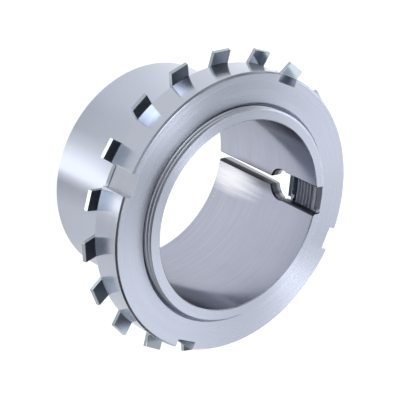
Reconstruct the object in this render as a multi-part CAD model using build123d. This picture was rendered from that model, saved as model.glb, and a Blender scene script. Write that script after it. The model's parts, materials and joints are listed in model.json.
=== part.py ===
from build123d import *
import math
import os

# Bearing adapter sleeve: a slit, tapered sleeve that clamps a taper-bore bearing to a
# plain shaft, with the slotted nut that draws it in and the washer that locks the nut.
# Millimetres. The axis is +Z, the origin is the middle of the big end's face, the thread
# is at the top, and the keyway looks along +X.

# Sleeve
bore_diameter = 85.0
sleeve_length = 67.0
wall_at_thread = 5.0
thread_pitch = 2.0
bare_thread = 0.6
relief_width = 2.5
relief_depth = 1.4
length_per_taper = 12.0
thread_end_chamfer = 0.3
bore_chamfer = 0.4
big_end_chamfer = 0.8

# Keyway and slit, cut straight through the wall, with their edges broken in the bore
tang_side_play = 1.4
keyway_runout = 5.8
keyway_end_undercut = 0.4
slit_width = 3.6
throat_radius = 1.2
slot_edge_break = 0.6

# Nut
nut_rim_depth = 15.0
nut_width = 16.0
nut_setback = 3.15
running_clearance = 0.05
countersink_margin = 1.7
nut_front_chamfer = 0.8
spanner_slots = 4
spanner_slot_width = 10.0
spanner_slot_depth = 4.0
spanner_slot_angle = -20.7

# Washer
washer_thickness = 1.75
washer_bore_play = 0.25
ring_inset = 3.5
tang_width = 10.0
tang_depth = 2.0
tabs = 19
tab_overhang = 5.9
tab_root_width = 9.2
tab_tip_width = 8.8
tab_bend = 16.0
tab_clearance = 0.1
tab_start_angle = -0.8

# Radii that follow, from the bore outwards
bore_radius = bore_diameter / 2
thread_radius = bore_radius + wall_at_thread
# The pitch line of a 60 degree thread lies three eighths of its full depth in from the crest
pitch_radius = thread_radius - 3 / 8 * thread_pitch * math.sqrt(3) / 2
washer_bore_radius = thread_radius + washer_bore_play
countersink_radius = thread_radius + countersink_margin
nut_radius = thread_radius + nut_rim_depth
ring_radius = nut_radius - ring_inset
tab_tip_radius = nut_radius + tab_overhang

# Heights that follow, from the thread end down
nut_front = sleeve_length - nut_setback
nut_back = nut_front - nut_width
washer_back = nut_back - washer_thickness
relief_top = washer_back - bare_thread
taper_top = relief_top - relief_width
keyway_foot = taper_top - keyway_runout

# The tabs bend up along the chamfer on the nut's back
tab_slope = math.tan(math.radians(tab_bend))
bend_line = math.sqrt(ring_radius**2 - (tab_root_width / 2) ** 2)

# How near two lengths count as the same
tolerance = 0.01


def turned(points):
    """One solid of revolution about +Z from the points of its half section."""
    with BuildPart() as body:
        with BuildSketch(Plane.XZ):
            with BuildLine():
                Polyline(*points, close=True)
            make_face()
        revolve(axis=Axis.Z)
    return body.part


def sleeve_blank():
    """The sleeve as turned: plain bore, taper outside, relief and thread at the top."""
    big_end_radius = thread_radius + taper_top / length_per_taper / 2
    relief_radius = thread_radius - relief_depth
    return turned(
        [
            (bore_radius + bore_chamfer, 0),
            (big_end_radius - big_end_chamfer, 0),
            (big_end_radius, big_end_chamfer),
            (thread_radius, taper_top),
            (relief_radius, taper_top),
            (relief_radius, relief_top),
            (pitch_radius, relief_top),
            (pitch_radius, sleeve_length - thread_end_chamfer),
            (pitch_radius - thread_end_chamfer, sleeve_length),
            (bore_radius + bore_chamfer, sleeve_length),
            (bore_radius, sleeve_length - bore_chamfer),
            (bore_radius, bore_chamfer),
        ]
    )


def keyway_and_slit():
    """The cutter: a keyway from the thread end to a round end that runs out into the slit."""
    keyway_width = tang_width + tang_side_play * 2
    end_radius = keyway_width / 2 + keyway_end_undercut
    with BuildPart() as cutter:
        with BuildSketch(Plane.YZ):
            with Locations((0, keyway_foot + end_radius)):
                Circle(end_radius)
                Rectangle(keyway_width, sleeve_length, align=(Align.CENTER, Align.MIN))
                Rectangle(slit_width, sleeve_length, align=(Align.CENTER, Align.MAX))
        extrude(amount=nut_radius)
        # Up the cutter, the slit's foot comes first and its two corners with the round end next
        throat = cutter.edges().filter_by(Axis.X).group_by(Axis.Z)[1]
        fillet(throat, throat_radius)
    return cutter.part


def runs_up_bore(edge):
    """True for an edge that lies on the wall of the bore and isn't level."""
    spots = [edge.position_at(share) for share in (0, 0.5, 1)]
    on_wall = all(abs(math.hypot(spot.X, spot.Y) - bore_radius) < tolerance for spot in spots)
    return on_wall and edge.bounding_box().size.Z > tolerance


def adapter_sleeve():
    """The slit sleeve, with the cut's edges broken along the bore."""
    sleeve = sleeve_blank() - keyway_and_slit()
    return chamfer(sleeve.edges().filter_by(runs_up_bore), slot_edge_break)


def lock_nut():
    """The round nut: countersunk both sides, with slots for a hook spanner in its rim."""
    nut_bore_radius = pitch_radius + running_clearance
    countersink = countersink_radius - nut_bore_radius
    seat_radius = bend_line - tab_clearance
    back_rise = (nut_radius - bend_line) * tab_slope + tab_clearance
    with BuildPart() as nut:
        add(
            turned(
                [
                    (countersink_radius, nut_back),
                    (seat_radius, nut_back),
                    (nut_radius, nut_back + back_rise),
                    (nut_radius, nut_front - nut_front_chamfer),
                    (nut_radius - nut_front_chamfer, nut_front),
                    (countersink_radius, nut_front),
                    (nut_bore_radius, nut_front - countersink),
                    (nut_bore_radius, nut_back + countersink),
                ]
            )
        )
        with PolarLocations(nut_radius - spanner_slot_depth, spanner_slots, start_angle=spanner_slot_angle):
            with Locations((0, 0, nut_back + nut_width / 2)):
                Box(
                    spanner_slot_depth * 2,
                    spanner_slot_width,
                    nut_width * 2,
                    align=(Align.MIN, Align.CENTER, Align.CENTER),
                    mode=Mode.SUBTRACT,
                )
    return nut.part


def washer_tab():
    """One tab on +X: a flat blank, narrower at the tip, bent up towards the nut."""
    root = bend_line - washer_thickness * 2
    tip_height = nut_back + (tab_tip_radius - bend_line) * tab_slope
    # The back face bends further out than the front, by the plate's thickness
    lag = washer_thickness * math.tan(math.radians(tab_bend / 2))
    back_tip = tab_tip_radius + washer_thickness * math.sin(math.radians(tab_bend))
    back_tip_height = tip_height - washer_thickness * math.cos(math.radians(tab_bend))
    with BuildPart() as tab:
        with BuildSketch(Plane.XZ):
            with BuildLine():
                Polyline(
                    (root, nut_back),
                    (bend_line, nut_back),
                    (tab_tip_radius, tip_height),
                    (back_tip, back_tip_height),
                    (bend_line + lag, washer_back),
                    (root, washer_back),
                    close=True,
                )
            make_face()
        extrude(amount=tab_root_width, both=True)
        with BuildSketch(Plane.XY.offset(washer_back)):
            with BuildLine():
                Polyline(
                    (root, -tab_root_width / 2),
                    (bend_line, -tab_root_width / 2),
                    (back_tip, -tab_tip_width / 2),
                    (back_tip, tab_tip_width / 2),
                    (bend_line, tab_root_width / 2),
                    (root, tab_root_width / 2),
                    close=True,
                )
            make_face()
        extrude(amount=nut_width, both=True, mode=Mode.INTERSECT)
    return tab.part


def lock_washer():
    """The sheet washer: a flat ring, the tang that sits in the keyway, and the bent tabs."""
    with BuildPart() as washer:
        with BuildSketch(Plane.XY.offset(washer_back)):
            Circle(ring_radius)
            Circle(washer_bore_radius, mode=Mode.SUBTRACT)
            with Locations((thread_radius - tang_depth, 0)):
                Rectangle(
                    tang_depth + washer_bore_play + washer_thickness,
                    tang_width,
                    align=(Align.MIN, Align.CENTER),
                )
        extrude(amount=washer_thickness)
        with PolarLocations(0, tabs, start_angle=tab_start_angle):
            add(washer_tab())
    return washer.part


os.makedirs("parts", exist_ok=True)
export_step(adapter_sleeve(), "parts/adapter_sleeve.step")
export_step(lock_nut(), "parts/lock_nut.step")
export_step(lock_washer(), "parts/lock_washer.step")
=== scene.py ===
import json
import math

import bmesh
import bpy
from mathutils import Matrix, Vector


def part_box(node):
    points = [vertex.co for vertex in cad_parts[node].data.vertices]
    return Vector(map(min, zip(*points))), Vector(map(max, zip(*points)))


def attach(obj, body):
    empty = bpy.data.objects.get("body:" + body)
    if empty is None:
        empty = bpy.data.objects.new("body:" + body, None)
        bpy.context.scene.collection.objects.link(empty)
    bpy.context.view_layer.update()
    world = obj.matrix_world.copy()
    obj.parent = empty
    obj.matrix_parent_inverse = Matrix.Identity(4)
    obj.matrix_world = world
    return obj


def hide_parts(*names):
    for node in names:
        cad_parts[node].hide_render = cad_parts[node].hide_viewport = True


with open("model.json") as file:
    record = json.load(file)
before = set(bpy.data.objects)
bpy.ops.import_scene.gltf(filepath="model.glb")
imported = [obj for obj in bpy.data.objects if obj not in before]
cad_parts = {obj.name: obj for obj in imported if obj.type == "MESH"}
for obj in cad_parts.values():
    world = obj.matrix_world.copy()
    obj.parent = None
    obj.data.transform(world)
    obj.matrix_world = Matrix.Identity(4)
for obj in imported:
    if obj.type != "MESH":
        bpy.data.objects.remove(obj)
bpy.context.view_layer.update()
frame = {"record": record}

# Adapter sleeve. Turned from one piece of steel: a plain bore, a 1 in 12 taper outside and
# a fine thread at the top. A keyway is then milled through the wall and runs out into a
# slit along the whole length, so that the sleeve springs shut on its shaft.

mm = 0.001
record = frame["record"]
mounts = {mount["name"]: mount for mount in record["mounts"]}
bore_radius = mounts["shaft_bore"]["dims"]["r_mm"] * mm
sleeve_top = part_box("adapter_sleeve")[1].z
washer_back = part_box("lock_washer")[0].z

# The nut climbs one pitch for each turn, which is what couples its slide to its turn. The
# pitch line lies three eighths of the sharp thread's height in from its crest.
thread_pitch = 2 * math.pi * record["behaviour"]["couplings"][0]["ratio"]
sharp_height = thread_pitch * math.sqrt(3) / 2
thread_radius = 47.5 * mm
pitch_radius = thread_radius - 3 / 8 * sharp_height
thread_root_radius = thread_radius - 17 / 24 * sharp_height
crest_cut = 0.03 * mm
thread_bottom = washer_back - 0.6 * mm
end_face_radius = thread_radius - 0.3 * mm

taper_top = thread_bottom - 2.5 * mm
relief_radius = thread_radius - 1.4 * mm
big_end_radius = thread_radius + taper_top / 12 / 2
big_end_chamfer = 0.8 * mm
bore_chamfer = 0.4 * mm
corner_rounding = 0.2 * mm

# Up the cut: the slit, the throat where it widens, the keyway's round end, the keyway
slit_half_width = 1.8 * mm
keyway_half_width = 6.4 * mm
throat_radius = 1.2 * mm
round_end_radius = 6.8 * mm
round_end_height = taper_top - 5.8 * mm + round_end_radius
throat_to_end = round_end_radius + throat_radius
throat_foot = round_end_height - math.sqrt(throat_to_end**2 - (slit_half_width + throat_radius) ** 2)
throat_head = round_end_height + (throat_foot - round_end_height) * round_end_radius / throat_to_end

bore_edge_break = 0.6 * mm
edge_break_fade = 1.2 * mm
rim_edge_break = 0.15 * mm
sleeve_columns = 288
on_taper, in_cut, on_thread, on_end, in_bore = range(5)


def rounded(points, radius, steps=3):
    """The open line through these points, with each inner corner turned into a small curve."""
    line = [Vector(points[0])]
    for before, corner, after in zip(points, points[1:], points[2:]):
        before, corner, after = Vector(before), Vector(corner), Vector(after)
        into = corner + (before - corner).normalized() * min(radius, (before - corner).length / 2)
        out = corner + (after - corner).normalized() * min(radius, (after - corner).length / 2)
        for step in range(steps + 1):
            share = step / steps
            line.append(into.lerp(corner, share).lerp(corner.lerp(out, share), share))
    line.append(Vector(points[-1]))
    return line


def thread_form(height, turn):
    """Radius of the sharp 60 degree thread form before its crests and roots are cut off."""
    from_crest = abs((height / thread_pitch - turn + 0.5) % 1 - 0.5) * thread_pitch
    return pitch_radius + (thread_pitch / 4 - from_crest) * math.sqrt(3)


def thread_rows(bottom, top, depth):
    """Starting heights of rows that climb with the helix and hold its crests and roots."""
    # Shares of the pitch up from a crest's middle, where the flats end and the flank's thirds lie
    crest_share = 1 / 16
    root_share = crest_share + depth / (math.sqrt(3) * thread_pitch)
    soft = 0.0175
    flank = (root_share - crest_share) / 3
    shares = [crest_share - soft, crest_share + soft, crest_share + flank]
    shares += [root_share - flank, root_share - soft, root_share + soft]
    shares += [1 - share for share in reversed(shares)]
    turns = range(math.floor(bottom / thread_pitch) - 1, math.ceil(top / thread_pitch) + 1)
    starts = [(turn + share) * thread_pitch for turn in turns for share in shares]
    inside = [start for start in starts if bottom - thread_pitch < start < top]
    return [bottom - thread_pitch, *inside, top]


def half_gap(height):
    """Half the width of the keyway or slit at this height, measured across the cut."""
    if height <= throat_foot:
        return slit_half_width
    if height <= throat_head:
        arc = math.sqrt(max(throat_radius**2 - (height - throat_foot) ** 2, 0))
        return slit_half_width + throat_radius - arc
    above = height - round_end_height
    circle = math.sqrt(max(round_end_radius**2 - above**2, 0))
    return max(circle, keyway_half_width) if above > 0 else circle


def cut_normal(height):
    """Across and up parts of the direction from the cut's edge into the wall."""
    step = 0.01 * mm
    slope = (half_gap(height + step) - half_gap(height - step)) / (2 * step)
    return 1 / math.hypot(1, slope), -slope / math.hypot(1, slope)


def heights_of_cut():
    """Heights of the rows that follow the cut's outline, from the slit to the keyway's foot."""
    lowest = -math.acos((slit_half_width + throat_radius) / throat_to_end)
    highest = math.acos(keyway_half_width / round_end_radius)
    steps = 18
    turns = [lowest + (highest - lowest) * step / steps for step in range(steps + 1)]
    round_end = [round_end_height + round_end_radius * math.sin(turn) for turn in turns]
    throat = [round_end[0] - throat_radius * share for share in (1.05, 0.9, 0.72, 0.54, 0.36, 0.18)]
    slit = [sleeve_top * share for share in (0.1, 0.2, 0.3, 0.4, 0.5)]
    return sorted(slit + throat + round_end)


def zip_rows(bm, left, right):
    """Triangles between two rows of vertices that climb side by side."""
    i = j = 0
    while i < len(left) - 1 or j < len(right) - 1:
        left_ends, right_ends = i == len(left) - 1, j == len(right) - 1
        if not left_ends and (right_ends or left[i + 1].co.z <= right[j + 1].co.z):
            yield bm.faces.new((left[i], left[i + 1], right[j]))
            i += 1
        else:
            yield bm.faces.new((left[i], right[j + 1], right[j]))
            j += 1


def grid_faces(bm, rows, finish=0):
    """Four-sided faces between neighbouring rows of vertices."""
    for low, high in zip(rows, rows[1:]):
        for a, b, c, d in zip(low, low[1:], high[1:], high):
            bm.faces.new((a, b, c, d)).material_index = finish


def plain_rows(cut_heights):
    """Radius and height of the rows below the thread, with one wherever the cut needs it."""
    section = rounded(
        [
            (big_end_radius - big_end_chamfer, 0),
            (big_end_radius, big_end_chamfer),
            (thread_radius, taper_top),
            (relief_radius, taper_top),
            (relief_radius, thread_bottom),
        ],
        corner_rounding,
    )
    rows = [tuple(point) for point in section]
    order = {point: place for place, point in enumerate(rows)}
    clear = 0.05 * mm
    for height in cut_heights:
        for (r0, z0), (r1, z1) in zip(section, section[1:]):
            if z0 + clear < height < z1 - clear:
                rows.append((r0 + (r1 - r0) * (height - z0) / (z1 - z0), height))
    return sorted(rows, key=lambda point: (round(point[1], 7), order.get(point, 0)))


def outer_place(row, turn):
    """Radius and height on the outside, on a plain row or one that follows the thread."""
    if isinstance(row, tuple):
        return row
    height = min(max(row + thread_pitch * turn, thread_bottom), sleeve_top)
    radius = min(max(thread_form(height, turn), thread_root_radius), thread_radius - crest_cut)
    run_in = relief_radius + (height - thread_bottom)
    run_out = end_face_radius + (sleeve_top - height)
    return min(radius, run_in, run_out), height


def sleeve_mesh():
    bm = bmesh.new()
    cut_heights = heights_of_cut()
    thread_depth = thread_radius - thread_root_radius
    outer_rows = plain_rows(cut_heights)[:-1] + thread_rows(thread_bottom, sleeve_top, thread_depth)

    # Each side of the cut, with the column it takes from every ring and its sign across
    sides = ((0, 0, 1), (1, -1, -1))

    def cut_wall_vertex(reach, across, height):
        """A vertex on the flat wall of the cut, this far from the axis and from the middle."""
        return bm.verts.new((math.sqrt(reach**2 - across**2), across, height))

    outer, walls = [], ([], [])
    for row in outer_rows:
        ring = []
        for column in range(sleeve_columns + 1):
            share = column / sleeve_columns
            angle = 2 * math.pi * share
            # The row's height and the cut's edge depend on each other, so both are found in steps
            for _ in range(3):
                radius, height = outer_place(row, angle / (2 * math.pi))
                edge = math.asin((half_gap(height) + rim_edge_break) / radius)
                angle = edge + share * (2 * math.pi - 2 * edge)
            ring.append(bm.verts.new((radius * math.cos(angle), radius * math.sin(angle), height)))
        outer.append(ring)
        for side, column, sign in sides:
            corner = ring[column].co
            reach = corner.xy.length - rim_edge_break
            walls[side].append(cut_wall_vertex(reach, half_gap(corner.z) * sign, corner.z))

    shares_up_keyway = (0.42, 0.8, 1.5, 2.3, 3.0)
    keyway_heights = [round_end_height + round_end_radius * share for share in shares_up_keyway]
    bore_rows = [(bore_radius + bore_chamfer, 0), (bore_radius, bore_chamfer)]
    bore_rows += [(bore_radius, height) for height in cut_heights + keyway_heights]
    bore_rows += [(bore_radius, sleeve_top - bore_chamfer), (bore_radius + bore_chamfer, sleeve_top)]
    inner, lips = [], ([], [])
    for radius, height in bore_rows:
        across, up = cut_normal(height)
        edge = math.asin((half_gap(height) + bore_edge_break * across) / radius)
        ring = []
        for column in range(sleeve_columns + 1):
            angle = edge + column / sleeve_columns * (2 * math.pi - 2 * edge)
            away = radius * min(angle - edge, 2 * math.pi - edge - angle)
            shift = bore_edge_break * up * math.exp(-away / edge_break_fade)
            ring.append(bm.verts.new((radius * math.cos(angle), radius * math.sin(angle), height + shift)))
        inner.append(ring)
        for side, _, sign in sides:
            lips[side].append(cut_wall_vertex(radius + bore_edge_break, half_gap(height) * sign, height))

    grid_faces(bm, outer)
    grid_faces(bm, [ring[::-1] for ring in inner])
    grid_faces(bm, [outer[-1], inner[-1]])
    grid_faces(bm, [inner[0], outer[0]])
    for side, column, _ in sides:
        grid_faces(bm, [[ring[column] for ring in outer], walls[side]])
        grid_faces(bm, [[ring[column] for ring in inner], lips[side]], in_cut)
        for face in zip_rows(bm, walls[side], lips[side]):
            face.material_index = in_cut
        for end in (0, -1):
            bm.faces.new((outer[end][column], walls[side][end], lips[side][end], inner[end][column]))

    near = 0.1 * mm
    for face in bm.faces:
        middle = face.calc_center_median()
        reach = middle.xy.length
        if face.material_index == in_cut:
            continue
        if reach > thread_root_radius - near and middle.z > thread_bottom - near:
            face.material_index = on_thread
        elif middle.z > sleeve_top - bore_chamfer:
            face.material_index = on_end
        elif reach < bore_radius + near:
            face.material_index = in_bore
        else:
            face.material_index = on_taper
    return bm


def breaks_shading(edge):
    """True where the surface turns sharply, and where a broad face meets a narrow one at an angle."""
    sharp_turn, slight_turn, much_broader = math.radians(32), math.radians(4), 5
    if len(edge.link_faces) != 2:
        return True
    turn = edge.calc_face_angle()
    narrow, broad = sorted(face.calc_area() for face in edge.link_faces)
    return turn > sharp_turn or (turn > slight_turn and broad > narrow * much_broader)


def finished_piece(name, bm, finishes, bevel_edges=None, bevel_width=0.0):
    """A piece of the object from its mesh, closed, with the chosen edges rounded."""
    bmesh.ops.remove_doubles(bm, verts=bm.verts, dist=0.001 * mm)
    bmesh.ops.recalc_face_normals(bm, faces=bm.faces)
    chosen = [edge for edge in bm.edges if bevel_edges and bevel_edges(edge)]
    if chosen:
        bmesh.ops.bevel(bm, geom=chosen, offset=bevel_width, segments=2, profile=0.5, affect="EDGES")
    for face in bm.faces:
        face.smooth = True
    for edge in bm.edges:
        edge.smooth = not breaks_shading(edge)
    mesh = bpy.data.meshes.new(name)
    bm.to_mesh(mesh)
    bm.free()
    for finish in finishes:
        mesh.materials.append(finish)
    piece = bpy.data.objects.new(name, mesh)
    bpy.context.scene.collection.objects.link(piece)
    return piece


def feed(tree, socket, value):
    """Sets a socket, or links it where the value is another node's output."""
    if isinstance(value, bpy.types.NodeSocket):
        tree.links.new(value, socket)
    else:
        socket.default_value = value


def add_node(tree, kind, **values):
    """A new shader node with these inputs set or linked."""
    node = tree.nodes.new(kind)
    for label, value in values.items():
        feed(tree, node.inputs[label.replace("_", " ")], value)
    return node


def maths(tree, operation, *values):
    node = tree.nodes.new("ShaderNodeMath")
    node.operation = operation
    for socket, value in zip(node.inputs, values):
        feed(tree, socket, value)
    return node.outputs[0]


def distance(tree, x, y):
    squares = maths(tree, "ADD", maths(tree, "MULTIPLY", x, x), maths(tree, "MULTIPLY", y, y))
    return maths(tree, "SQRT", squares)


def rising(tree, value, low, high):
    """From 0 to 1 as the value passes from low to high."""
    ramp = tree.nodes.new("ShaderNodeMapRange")
    ramp.interpolation_type = "SMOOTHSTEP"
    for label, number in (("Value", value), ("From Min", low), ("From Max", high)):
        feed(tree, ramp.inputs[label], number)
    return ramp.outputs["Result"]


def falling(tree, value, low, high):
    return maths(tree, "SUBTRACT", 1.0, rising(tree, value, low, high))


def blend_colours(tree, share, first, second):
    """From the first colour to the second. Each is another node's output or three numbers."""
    node = tree.nodes.new("ShaderNodeMix")
    node.data_type = "RGBA"
    feed(tree, node.inputs["Factor"], share)
    for label, colour in (("A", first), ("B", second)):
        linked = isinstance(colour, bpy.types.NodeSocket)
        feed(tree, node.inputs[label], colour if linked else (*colour, 1))
    return node.outputs["Result"]


def noise(tree, vector, scale, detail):
    node = add_node(tree, "ShaderNodeTexNoise", Vector=vector, Scale=scale, Detail=detail, Roughness=0.55)
    return node.outputs["Fac"]


def on_object(tree):
    """The place on the object, as one vector and as its x, y and z."""
    place = tree.nodes.new("ShaderNodeTexCoord").outputs["Object"]
    return place, add_node(tree, "ShaderNodeSeparateXYZ", Vector=place).outputs


def new_group(name, inputs, outputs):
    """An empty shader node group with number inputs, and its ends."""
    group = bpy.data.node_groups.new(name, "ShaderNodeTree")
    for label, value in inputs.items():
        socket = group.interface.new_socket(label, in_out="INPUT", socket_type="NodeSocketFloat")
        socket.default_value = value
    for label in outputs:
        group.interface.new_socket(label, in_out="OUTPUT", socket_type="NodeSocketFloat")
    return group, group.nodes.new("NodeGroupInput").outputs, group.nodes.new("NodeGroupOutput").inputs


def lathe_marks_group():
    """Fine rings left by the tool, which run round the axis on faces and round walls alike."""
    group, given, result = new_group("lathe marks", {"Lines per mm": 6.0, "Drift": 1.4}, ("Lines", "Bands"))
    lines, drift = given["Lines per mm"], given["Drift"]
    _, (x, y, z) = on_object(group)
    radius = distance(group, x, y)
    along = maths(group, "MULTIPLY", maths(group, "ADD", radius, z), 1 / mm)
    for label, count in (("Lines", lines), ("Bands", maths(group, "MULTIPLY", lines, 0.11))):
        streak = add_node(
            group,
            "ShaderNodeCombineXYZ",
            X=maths(group, "MULTIPLY", along, count),
            Y=maths(group, "MULTIPLY", maths(group, "DIVIDE", x, radius), drift),
            Z=maths(group, "MULTIPLY", maths(group, "DIVIDE", y, radius), drift),
        )
        feed(group, result[label], noise(group, streak.outputs[0], 1.0, 1.0))
    return group


def handling_group():
    """Soft clouds of tone, as lubricant and handling leave on bare steel."""
    group, given, result = new_group("handling", {"Patch size": 30.0}, ("Clouds",))
    place, _ = on_object(group)
    scale = maths(group, "DIVIDE", 1 / mm, given["Patch size"])
    feed(group, result["Clouds"], noise(group, place, scale, 3.0))
    return group


lathe_marks = lathe_marks_group()
handling = handling_group()


def placed(tree, group, **values):
    """A shared effect set into a material, with its own values."""
    node = tree.nodes.new("ShaderNodeGroup")
    node.node_tree = group
    for label, value in values.items():
        feed(tree, node.inputs[label.replace("_", " ")], value)
    return node.outputs


def bare_steel(name, edge_tint=1.0):
    """A steel with nothing on it yet. Edge tint darkens what it mirrors at a low angle."""
    material = bpy.data.materials.new(name)
    material.use_nodes = True
    shader = material.node_tree.nodes["Principled BSDF"]
    shader.inputs["Metallic"].default_value = 1.0
    shader.inputs["Specular Tint"].default_value = (edge_tint, edge_tint, edge_tint, 1)
    return material, material.node_tree, shader


def raise_marks(tree, shader, height, depth):
    bump = add_node(tree, "ShaderNodeBump", Height=height, Distance=depth)
    feed(tree, shader.inputs["Normal"], bump.outputs[0])


def turned_steel(name, light, dark, roughness, lines, depth, anisotropy, edge_tint=1.0, painted_light=None):
    """Steel as it comes off the lathe. The last argument, where given, paints highlights and shade into its
    colour in places.
    """
    material, tree, shader = bare_steel(name, edge_tint)
    marks = placed(tree, lathe_marks, Lines_per_mm=lines)
    touch = placed(tree, handling, Patch_size=26.0)
    bands = maths(tree, "MULTIPLY", marks["Bands"], 0.6)
    tone = maths(tree, "ADD", bands, maths(tree, "MULTIPLY", touch["Clouds"], 0.5))
    colour = blend_colours(tree, maths(tree, "SUBTRACT", tone, 0.05), dark, light)
    feed(tree, shader.inputs["Base Color"], painted_light(tree, colour) if painted_light else colour)
    spread = maths(tree, "MULTIPLY_ADD", marks["Bands"], 0.08, roughness - 0.04)
    feed(tree, shader.inputs["Roughness"], spread)
    raise_marks(tree, shader, marks["Lines"], depth)
    shader.inputs["Anisotropic"].default_value = anisotropy
    shader.inputs["Anisotropic Rotation"].default_value = 0.25
    tangent = tree.nodes.new("ShaderNodeTangent")
    tangent.direction_type = "RADIAL"
    tangent.axis = "Z"
    feed(tree, shader.inputs["Tangent"], tangent.outputs[0])
    return material


def milled_steel(name, light, dark, roughness, edge_tint=1.0, painted_light=None):
    """The walls of a milled cut. The last argument, where given, paints shade into their colour in places.
    """
    material, tree, shader = bare_steel(name, edge_tint)
    touch = placed(tree, handling, Patch_size=4.0)
    colour = blend_colours(tree, touch["Clouds"], dark, light)
    feed(tree, shader.inputs["Base Color"], painted_light(tree, colour) if painted_light else colour)
    spread = maths(tree, "MULTIPLY_ADD", touch["Clouds"], 0.2, roughness - 0.1)
    feed(tree, shader.inputs["Roughness"], spread)
    raise_marks(tree, shader, touch["Clouds"], 0.01 * mm)
    return material


def cut_wall_painted_shade(tree, colour):
    """Painted shade: the cut's walls are coloured darker towards the bore, and darkest in the slit."""
    slit_shade_tone, keyway_shade_tone = (0.03, 0.032, 0.038), (0.13, 0.135, 0.15)
    _, (x, y, z) = on_object(tree)
    wall_shade = blend_colours(tree, rising(tree, z, 30 * mm, 40 * mm), slit_shade_tone, keyway_shade_tone)
    outward = rising(tree, distance(tree, x, y), bore_radius + 2.7 * mm, bore_radius + 3.9 * mm)
    return blend_colours(tree, outward, wall_shade, colour)


def bore_painted_shade_and_highlight(tree, colour):
    """Painted shade in a band along the slit's edges, and beside it a painted highlight, a lighter patch.
    """
    painted_shade_tone, painted_highlight_tone = (0.13, 0.138, 0.165), (0.64, 0.65, 0.68)
    place, (x, y, z) = on_object(tree)

    band_middle = -1.1 * mm
    beside = maths(tree, "ABSOLUTE", maths(tree, "SUBTRACT", y, band_middle))
    slit_band_shade = falling(tree, beside, 2 * mm, 6.5 * mm)
    lengthwise = (rising(tree, z, 8 * mm, 22 * mm), falling(tree, z, 46 * mm, 54 * mm))
    for share in (rising(tree, x, 30 * mm, 38 * mm), *lengthwise):
        slit_band_shade = maths(tree, "MULTIPLY", slit_band_shade, share)
    colour = blend_colours(tree, slit_band_shade, colour, painted_shade_tone)

    # The painted highlight is round where height counts for less, so it lies long up the bore
    height_counts = 0.38
    patch = Vector((41.5, -7.5, 10.0 * height_counts)) * mm
    from_patch = add_node(
        tree, "ShaderNodeMapping", Vector=place, Location=-patch, Scale=(1, 1, height_counts)
    )
    away = tree.nodes.new("ShaderNodeVectorMath")
    away.operation = "LENGTH"
    feed(tree, away.inputs[0], from_patch.outputs[0])
    strokes = add_node(tree, "ShaderNodeMapping", Vector=place, Scale=(0, 420, 40))
    ragged = noise(tree, strokes.outputs[0], 1.0, 1.0)
    edge = maths(tree, "MULTIPLY_ADD", ragged, 5 * mm, away.outputs["Value"])
    return blend_colours(tree, rising(tree, edge, 3.5 * mm, 12.5 * mm), painted_highlight_tone, colour)


ground_steel = turned_steel(
    "ground steel", (0.6, 0.63, 0.73), (0.55, 0.58, 0.68),
    roughness=0.2, lines=6.0, depth=0.0001 * mm, anisotropy=0.7,
)
keyway_steel = milled_steel(
    "milled keyway", (0.5, 0.52, 0.57), (0.4, 0.42, 0.47),
    roughness=0.3, edge_tint=0.6, painted_light=cut_wall_painted_shade,
)
# The thread is coloured lighter than the rest of the steel, as painted light in its grooves
thread_steel = turned_steel(
    "cut thread", (0.74, 0.76, 0.82), (0.66, 0.68, 0.74),
    roughness=0.38, lines=8.0, depth=0.0002 * mm, anisotropy=0.5,
)
faced_steel = turned_steel(
    "faced steel", (0.6, 0.63, 0.72), (0.56, 0.59, 0.68),
    roughness=0.27, lines=3.5, depth=0.00003 * mm, anisotropy=0.88,
)
# The bore's steel is coloured darker than the outside, as painted shade inside the bore
bored_steel = turned_steel(
    "bored steel", (0.35, 0.37, 0.425), (0.24, 0.25, 0.325),
    roughness=0.2, lines=6.0, depth=0.0001 * mm, anisotropy=0.6, edge_tint=0.65, painted_light=bore_painted_shade_and_highlight,
)

sleeve_finishes = (ground_steel, keyway_steel, thread_steel, faced_steel, bored_steel)
sleeve = finished_piece("threaded_sleeve", sleeve_mesh(), sleeve_finishes)
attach(sleeve, "sleeve")
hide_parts("adapter_sleeve")

# Lock washer. Stamped from steel sheet: a flat ring, a tang that sits in the sleeve's keyway
# so that the washer can't turn, and tabs round the rim, all bent up a little towards the
# nut. In use one of them is knocked into a slot of the nut to lock it; here all are bent alike.

nut_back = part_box("lock_nut")[0].z
washer_thickness = nut_back - washer_back
washer_bore_radius = thread_radius + 0.25 * mm
ring_radius = 59.0 * mm
tang_half_width = 5.0 * mm
tang_tip_radius = thread_radius - 2.0 * mm
tabs = 19
tab_half_width = 4.6 * mm
tab_tip_half_width = 4.4 * mm
tab_tip_radius = 68.4 * mm
tab_bend = math.radians(16.0)
tab_start = math.radians(-0.8)
bend_line = math.sqrt(ring_radius**2 - tab_half_width**2)
bend_radius = 0.8 * mm
bend_steps = 3
stamped_edge = 0.12 * mm
sheet, shaded_tang_end = range(2)


def round_angle(angle):
    """The same angle between minus and plus half a turn."""
    return (angle + math.pi) % (2 * math.pi) - math.pi


def tab_section():
    """Front and back of a tab, out along it: the bend about one centre, then its tip."""
    centre_run = bend_line - bend_radius * math.tan(tab_bend / 2)
    centre_rise = nut_back + bend_radius
    stations = []
    for step in range(bend_steps + 1):
        turn = tab_bend * step / bend_steps
        stations.append(
            [
                (centre_run + radius * math.sin(turn), centre_rise - radius * math.cos(turn))
                for radius in (bend_radius, bend_radius + washer_thickness)
            ]
        )
    tip_rise = nut_back + (tab_tip_radius - bend_line) * math.tan(tab_bend)
    back_run = tab_tip_radius + washer_thickness * math.sin(tab_bend)
    back_rise = tip_rise - washer_thickness * math.cos(tab_bend)
    stations.append([(tab_tip_radius, tip_rise), (back_run, back_rise)])
    return stations


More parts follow.
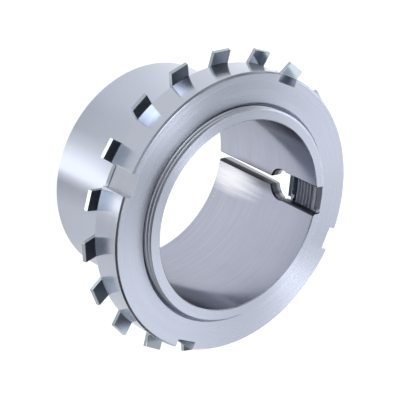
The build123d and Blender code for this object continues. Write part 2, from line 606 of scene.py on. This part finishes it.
def washer_mesh():
    bm = bmesh.new()
    tab_half_angle = math.asin(tab_half_width / ring_radius)
    tang_half_angle = math.asin(tang_half_width / washer_bore_radius)
    centres = [tab_start + 2 * math.pi * tab / tabs for tab in range(tabs)]
    section = tab_section()
    longest_step = math.radians(1.6)
    hair = 1e-6

    # Angles of the columns, with one at every side of a tab or of the tang
    stops = [centre + side * tab_half_angle for centre in centres for side in (-1, 1)]
    stops += [side * tang_half_angle for side in (-1, 1)]
    stops = sorted(stop % (2 * math.pi) for stop in stops)
    angles = []
    for start, end in zip(stops, [*stops[1:], stops[0] + 2 * math.pi]):
        steps = max(1, math.ceil((end - start) / longest_step))
        angles += [start + (end - start) * step / steps for step in range(steps)]

    def pair(x, y):
        """A vertex on the front of the flat sheet and the one behind it."""
        return bm.verts.new((x, y, nut_back)), bm.verts.new((x, y, washer_back))

    def plate(a, b, c, d):
        bm.faces.new((a[0], b[0], c[0], d[0]))
        bm.faces.new((d[1], c[1], b[1], a[1]))

    def edge_wall(a, b):
        bm.faces.new((a[0], b[0], b[1], a[1]))

    def tab_at(angle):
        """The middle of the tab that this angle lies in and how far off it is, or None."""
        for centre in centres:
            apart = round_angle(angle - centre)
            if abs(apart) <= tab_half_angle + hair:
                return centre, apart
        return None

    def tab_column(centre, apart):
        """Pairs of vertices from the bend to the tip, at one place across a tab."""
        share = math.tan(apart) * bend_line / tab_half_width
        cos, sin = math.cos(centre), math.sin(centre)
        column = []
        for faces in section:
            out = max((faces[0][0] - bend_line) / (tab_tip_radius - bend_line), 0)
            across = share * (tab_half_width + (tab_tip_half_width - tab_half_width) * out)
            places = [(run * cos - across * sin, run * sin + across * cos, z) for run, z in faces]
            column.append([bm.verts.new(place) for place in places])
        return column

    inside, outside, tab_columns, tang_columns = [], [], [], []
    for angle in angles:
        cos, sin = math.cos(angle), math.sin(angle)
        inside.append(pair(washer_bore_radius * cos, washer_bore_radius * sin))
        found = tab_at(angle)
        column = tab_column(*found) if found else None
        tab_columns.append((found[0], column) if found else None)
        outside.append(column[0] if found else pair(ring_radius * cos, ring_radius * sin))
        in_tang = abs(round_angle(angle)) <= tang_half_angle + hair
        tang_columns.append(pair(tang_tip_radius, washer_bore_radius * sin) if in_tang else None)

    count = len(angles)
    for here in range(count):
        there = (here + 1) % count
        plate(inside[here], outside[here], outside[there], inside[there])
        if tang_columns[here] and tang_columns[there]:
            plate(tang_columns[here], inside[here], inside[there], tang_columns[there])
            edge_wall(tang_columns[there], tang_columns[here])
        else:
            edge_wall(inside[there], inside[here])
        ours, theirs = tab_columns[here], tab_columns[there]
        if ours and theirs and ours[0] == theirs[0]:
            for a, b, c, d in zip(ours[1], ours[1][1:], theirs[1][1:], theirs[1]):
                plate(a, b, c, d)
            edge_wall(ours[1][-1], theirs[1][-1])
        else:
            edge_wall(outside[here], outside[there])
        if ours:
            for neighbour in (tab_columns[here - 1], theirs):
                if not neighbour or neighbour[0] != ours[0]:
                    for a, b in zip(ours[1], ours[1][1:]):
                        edge_wall(a, b)
        if tang_columns[here] and not (tang_columns[here - 1] and tang_columns[there]):
            edge_wall(tang_columns[here], inside[here])

    # The end of the tang has its own finish: rough, and coloured near black as painted shade
    tang_reach = washer_bore_radius - 0.5 * mm
    for face in bm.faces:
        at_tip = all(vertex.co.xy.length < tang_reach for vertex in face.verts)
        face.material_index = shaded_tang_end if at_tip else sheet
    return bm


def sheet_steel(name, light, dark, roughness):
    """Cold-rolled sheet: fine straight rolling lines, a little darker than turned steel."""
    material, tree, shader = bare_steel(name)
    place, _ = on_object(tree)
    stretch = add_node(tree, "ShaderNodeMapping", Vector=place, Scale=(120, 3500, 3500))
    rolling = noise(tree, stretch.outputs[0], 1.0, 2.0)
    touch = placed(tree, handling, Patch_size=9.0)
    clouds = maths(tree, "MULTIPLY", touch["Clouds"], 0.6)
    tone = maths(tree, "ADD", maths(tree, "MULTIPLY", rolling, 0.4), clouds)
    feed(tree, shader.inputs["Base Color"], blend_colours(tree, tone, dark, light))
    spread = maths(tree, "MULTIPLY_ADD", touch["Clouds"], 0.16, roughness - 0.08)
    feed(tree, shader.inputs["Roughness"], spread)
    raise_marks(tree, shader, rolling, 0.003 * mm)
    return material


def turns_more_than(edge, degrees):
    return len(edge.link_faces) == 2 and edge.calc_face_angle() > math.radians(degrees)


def stamped_corner(edge):
    return turns_more_than(edge, 40)


# The second finish colours the tang's end near black, as painted shade
washer_finishes = (
    sheet_steel("rolled sheet", (0.48, 0.53, 0.57), (0.4, 0.45, 0.49), roughness=0.16),
    sheet_steel("tang end painted shade", (0.13, 0.14, 0.155), (0.08, 0.088, 0.1), roughness=0.6),
)
washer = finished_piece("tabbed_washer", washer_mesh(), washer_finishes, stamped_corner, stamped_edge)
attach(washer, "washer")
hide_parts("lock_washer")

# Lock nut. A round nut turned from one piece of steel, threaded inside, countersunk at both
# ends and chamfered at the back to clear the bent tabs. Four slots for a hook spanner are
# milled across its rim.

nut_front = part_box("lock_nut")[1].z
nut_radius = thread_radius + 15.0 * mm
nut_front_chamfer = 0.8 * mm
nut_back_rise = (nut_radius - bend_line) * math.tan(tab_bend) + 0.1 * mm
nut_thread_radius = thread_radius - 5 / 8 * sharp_height
thread_play = 0.08 * mm
groove_play = 0.1 * mm
countersink_radius = thread_radius + 1.7 * mm
spanner_slots = 4
slot_half_width = 5.0 * mm
slot_floor = nut_radius - 4.0 * mm
first_slot = math.radians(-20.7)
nut_edge = 0.12 * mm
arc_columns = 64
slot_columns = 8
on_face, in_slot, on_rim, in_thread = range(4)


def nut_mesh():
    bm = bmesh.new()
    corner_radius = math.hypot(slot_floor, slot_half_width)
    rim = [
        (nut_radius - nut_front_chamfer, nut_front),
        (nut_radius, nut_front - nut_front_chamfer),
        (nut_radius, nut_back + nut_back_rise),
    ]

    # Plan of the rim, anticlockwise: across each slot's floor, then along the arc to the next
    columns = []
    for slot in range(spanner_slots):
        middle = first_slot + 2 * math.pi * slot / spanner_slots
        following = middle + 2 * math.pi / spanner_slots
        for step in range(slot_columns):
            across = slot_half_width * (2 * step / slot_columns - 1)
            angle = middle + math.atan2(across, slot_floor)
            columns.append((angle, math.hypot(slot_floor, across), None))
        for step in range(arc_columns):
            columns.append((None, corner_radius, (middle, following, step / arc_columns)))

    def arc_angle(place, radius):
        """The angle of a place on an arc, which ends at the flat walls of its two slots."""
        start, end, share = place
        edge = math.asin(slot_half_width / radius)
        return start + edge + (end - start - 2 * edge) * share

    def at(radius, angle, height):
        return bm.verts.new((radius * math.cos(angle), radius * math.sin(angle), height))

    def rim_column(place):
        return [at(radius, arc_angle(place, radius), height) for radius, height in rim]

    angles, front, back, rims = [], [], [], []
    for angle, radius, place in columns:
        angle = arc_angle(place, corner_radius) if place else angle
        angles.append(angle)
        front.append(at(radius, angle, nut_front))
        back.append(at(radius, angle, nut_back))
        rims.append(rim_column(place) if place else None)

    count = len(columns)
    for here in range(count):
        there = (here + 1) % count
        if rims[here] is None:
            floor_face = bm.faces.new((front[here], front[there], back[there], back[here]))
            floor_face.material_index = in_slot
            continue
        ours = [front[here], *rims[here], back[here]]
        if rims[there] is None:
            start, end, _ = columns[here][2]
            theirs = [front[there], *rim_column((start, end, 1.0)), back[there]]
            bm.faces.new(theirs).material_index = in_slot
        else:
            theirs = [front[there], *rims[there], back[there]]
        for a, b, c, d in zip(ours, theirs, theirs[1:], ours[1:]):
            bm.faces.new((a, b, c, d))
        if rims[here - 1] is None:
            bm.faces.new(ours[::-1]).material_index = in_slot

    def bore_place(row, turn):
        """Radius and height in the bore, on a row that follows the thread between the mouths."""
        height = min(max(row + thread_pitch * turn, nut_back), nut_front)
        radius = max(thread_form(height, turn) + thread_play, nut_thread_radius)
        mouth = countersink_radius - min(nut_front - height, height - nut_back)
        return max(min(radius, thread_radius + groove_play), mouth), height

    angles.append(angles[0] + 2 * math.pi)
    rows = []
    for row in thread_rows(nut_back, nut_front, thread_radius - nut_thread_radius):
        ring = []
        for angle in angles:
            radius, height = bore_place(row, angle / (2 * math.pi))
            ring.append(at(radius, angle, height))
        rows.append(ring)
    grid_faces(bm, rows)
    grid_faces(bm, [rows[-1], [*front, front[0]]])
    grid_faces(bm, [[*back, back[0]], rows[0]])

    bm.normal_update()
    for face in bm.faces:
        middle = face.calc_center_median()
        depth = min(nut_front - middle.z, middle.z - nut_back)
        if face.material_index == on_face and abs(face.normal.z) < 0.99:
            reach = middle.xy.length
            countersunk = abs(reach - (countersink_radius - depth)) < 0.03 * mm
            face.material_index = on_rim if countersunk or reach > slot_floor else in_thread
    return bm


def rim_corner(edge):
    outside = all(vertex.co.xy.length > slot_floor - 0.1 * mm for vertex in edge.verts)
    return outside and turns_more_than(edge, 30)


slot_steel = milled_steel("milled slots", (0.6, 0.63, 0.71), (0.52, 0.55, 0.63), roughness=0.2)
rim_steel = turned_steel(
    "turned rim", (0.6, 0.63, 0.72), (0.54, 0.57, 0.66),
    roughness=0.2, lines=5.0, depth=0.0001 * mm, anisotropy=0.7,
)
# The nut's thread is coloured lighter than the rest of the steel, as painted light in its grooves
tapped_steel = turned_steel(
    "tapped thread", (0.74, 0.76, 0.82), (0.64, 0.66, 0.72),
    roughness=0.95, lines=8.0, depth=0.0002 * mm, anisotropy=0.0,
)

nut_finishes = (faced_steel, slot_steel, rim_steel, tapped_steel)
nut = finished_piece("slotted_nut", nut_mesh(), nut_finishes, rim_corner, nut_edge)
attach(nut, "nut")
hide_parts("lock_nut")

# Studio. A plain pale floor that the sleeve stands on, a light tent with bright panels, one
# low lamp, and the camera that looks down on the nut from the side, lying nearly on its left
# side, so that the sleeve's axis runs down to the right.

# The steel mirrors cards that lie round the sleeve, each with its direction in degrees and its
# brightness, and one bright card under the bore
cards_middle = (-25.0 * mm, 12.4 * mm)
near_cards = (
    (25, 1.0), (45, 0.92), (75, 0.78), (100, 0.71), (118, 0.61), (143, 0.62), (158, 0.85), (179, 1.45),
    (190, 1.45), (197, 0.8), (203, 0.5), (210, 0.56), (222, 0.69), (265, 0.65), (290, 0.9),
)
far_cards = (
    (30, 0.95), (70, 0.76), (91, 0.65), (137, 0.64), (160, 0.6), (175, 0.53), (181, 1.35), (187, 1.3),
    (193, 0.6), (200, 0.49), (207, 0.49), (225, 0.61), (258, 0.63), (280, 0.7),
)
bore_card = 1.37
floor_as_seen = 0.95


def floor_material():
    """Near white to the camera, and as bright as the cards to everything that the steel mirrors."""
    material = bpy.data.materials.new("pale floor")
    material.use_nodes = True
    tree = material.node_tree
    shader = tree.nodes["Principled BSDF"]
    shader.inputs["Base Color"].default_value = (0.3, 0.3, 0.3, 1)
    shader.inputs["Roughness"].default_value = 0.9
    shader.inputs["Specular IOR Level"].default_value = 0.0
    shader.inputs["Emission Color"].default_value = (1, 1, 1, 1)
    _, (x, y, _) = on_object(tree)
    across = maths(tree, "SUBTRACT", x, cards_middle[0])
    along = maths(tree, "SUBTRACT", y, cards_middle[1])
    turn = maths(tree, "MULTIPLY", maths(tree, "ARCTAN2", along, across), 0.5 / math.pi)
    turn = maths(tree, "FRACT", turn)

    def brightness_round(name, stops):
        """Brightness of the cards round the sleeve, by the direction they lie in."""
        brightest = 2.0
        ramp = tree.nodes.new("ShaderNodeFloatCurve")
        ramp.label = name
        curve = ramp.mapping.curves[0]
        for end in (0, 1):
            curve.points[end].location = (end, stops[0][1] / brightest)
        for degrees, brightness in stops:
            curve.points.new(degrees / 360, brightness / brightest)
        for point in curve.points:
            point.handle_type = "VECTOR"
        ramp.mapping.update()
        feed(tree, ramp.inputs["Value"], turn)
        return maths(tree, "MULTIPLY", ramp.outputs["Value"], brightest)

    def between(share, first, second):
        return maths(tree, "MULTIPLY_ADD", share, maths(tree, "SUBTRACT", second, first), first)

    reach = distance(tree, x, y)
    near = brightness_round("near cards", near_cards)
    far = brightness_round("far cards", far_cards)
    cards = between(rising(tree, reach, 80 * mm, 92 * mm), near, far)
    mirrored = between(rising(tree, reach, 43 * mm, 46 * mm), bore_card, cards)
    seen = tree.nodes.new("ShaderNodeLightPath").outputs["Is Camera Ray"]
    feed(tree, shader.inputs["Emission Strength"], between(seen, mirrored, floor_as_seen))
    return material


bpy.ops.mesh.primitive_plane_add(size=6.0, location=(0, 0, -0.1 * mm))
floor = bpy.context.object
floor.name = "floor"
floor.data.materials.append(floor_material())


def direction(azimuth, elevation):
    a, e = math.radians(azimuth), math.radians(elevation)
    return Vector((math.cos(a) * math.cos(e), math.sin(a) * math.cos(e), math.sin(e)))


# The low lamp lies on the floor, faces up, and shows only as a reflection
lamp_brightness = 2.4
lamp_data = bpy.data.lights.new("table glow", "AREA")
lamp_data.shape = "RECTANGLE"
lamp_data.size, lamp_data.size_y = 0.07, 0.26
lamp_data.energy = lamp_brightness * math.pi * lamp_data.size * lamp_data.size_y
lamp = bpy.data.objects.new("table glow", lamp_data)
lamp.location = direction(165, 0) * 0.21
lamp.rotation_euler = Vector((0, 0, 1)).to_track_quat("-Z", "Y").to_euler()
lamp.visible_camera = False
bpy.context.scene.collection.objects.link(lamp)

# The tent glows softly behind the sleeve, and from there round to the camera it is dimmed
tent_glow = 0.6
tent_dimming = 0.96
camera_side = 160
dimming_starts, dimming_ends = -0.76, -0.5
tent_panels = (
    # azimuth, elevation, half width, half height and softness in degrees, then brightness
    (-52, 39, 8, 23, 8, 1.5),
    (-11, 28, 28, 11, 8, 1.5),
    (20, 74, 14, 7, 2, 3.0),
    (-34, 11, 2, 12, 0.5, 8.0),
    (153, 80, 12, 8, 4, 1.1),
    (75, 73, 8, 7, 4, 3.0),
    (223, 73, 8, 7, 4, 2.4),
    (105, 62, 40, 10, 6, 0.6),
    (100, 48, 34, 15, 8, 0.4),
    (200, 50, 35, 13, 8, 0.2),
    (258, 52, 20, 16, 10, 0.5),
    (62, 22, 20, 12, 10, 0.3),
    (32, 24, 13, 14, 5, 0.65),
    (266, 24, 12, 14, 5, 0.15),
)


def light_tent():
    """Soft light from behind the sleeve with bright panels, and dark where the camera stands."""
    world = bpy.data.worlds.new("light tent")
    world.use_nodes = True
    tree = world.node_tree
    place = tree.nodes.new("ShaderNodeTexCoord").outputs["Generated"]

    def part_along(axis):
        dot = tree.nodes.new("ShaderNodeVectorMath")
        dot.operation = "DOT_PRODUCT"
        feed(tree, dot.inputs[0], place)
        feed(tree, dot.inputs[1], axis)
        return dot.outputs["Value"]

    def panel(azimuth, elevation, half_width, half_height, softness, brightness):
        """A bright panel with soft edges that faces the sleeve."""
        ahead = part_along(direction(azimuth, elevation))
        across = part_along(direction(azimuth - 90, 0))
        upward = part_along(direction(azimuth, elevation + 90))
        blur = math.tan(math.radians(softness))
        on_this_side = maths(tree, "GREATER_THAN", ahead, 0.05)
        light = maths(tree, "MULTIPLY", on_this_side, brightness)
        for part, half_size in ((across, half_width), (upward, half_height)):
            off = maths(tree, "ABSOLUTE", maths(tree, "DIVIDE", part, ahead))
            edge = math.tan(math.radians(half_size))
            light = maths(tree, "MULTIPLY", light, falling(tree, off, edge - blur, edge + blur))
        return light

    dark = rising(tree, part_along(direction(camera_side, 0)), dimming_starts, dimming_ends)
    light = maths(tree, "MULTIPLY_ADD", dark, -tent_dimming * tent_glow, tent_glow)
    for one in tent_panels:
        light = maths(tree, "ADD", light, panel(*one))
    background = tree.nodes["Background"]
    feed(tree, background.inputs["Color"], (0.94, 0.96, 1.0, 1))
    feed(tree, background.inputs["Strength"], light)
    return world


bpy.context.scene.world = light_tent()

view_azimuth, view_elevation = 150.2, 45.9
view_distance = 0.707
view_roll = math.radians(-117.6)
aim = Vector((-0.9, -1.6, 40.3)) * mm
camera_data = bpy.data.cameras.new("camera")
camera_data.lens = 146.5
camera_data.sensor_width = 36.0
camera = bpy.data.objects.new("camera", camera_data)
backward = direction(view_azimuth, view_elevation)
level = (-backward).cross(Vector((0, 0, 1))).normalized()
upright = level.cross(-backward)
right = level * math.cos(view_roll) - upright * math.sin(view_roll)
up = upright * math.cos(view_roll) + level * math.sin(view_roll)
rotation = Matrix((right, up, backward)).transposed().to_4x4()
camera.matrix_world = Matrix.Translation(aim + backward * view_distance) @ rotation
bpy.context.scene.collection.objects.link(camera)
bpy.context.scene.camera = camera
bpy.context.scene.view_settings.view_transform = "Standard"
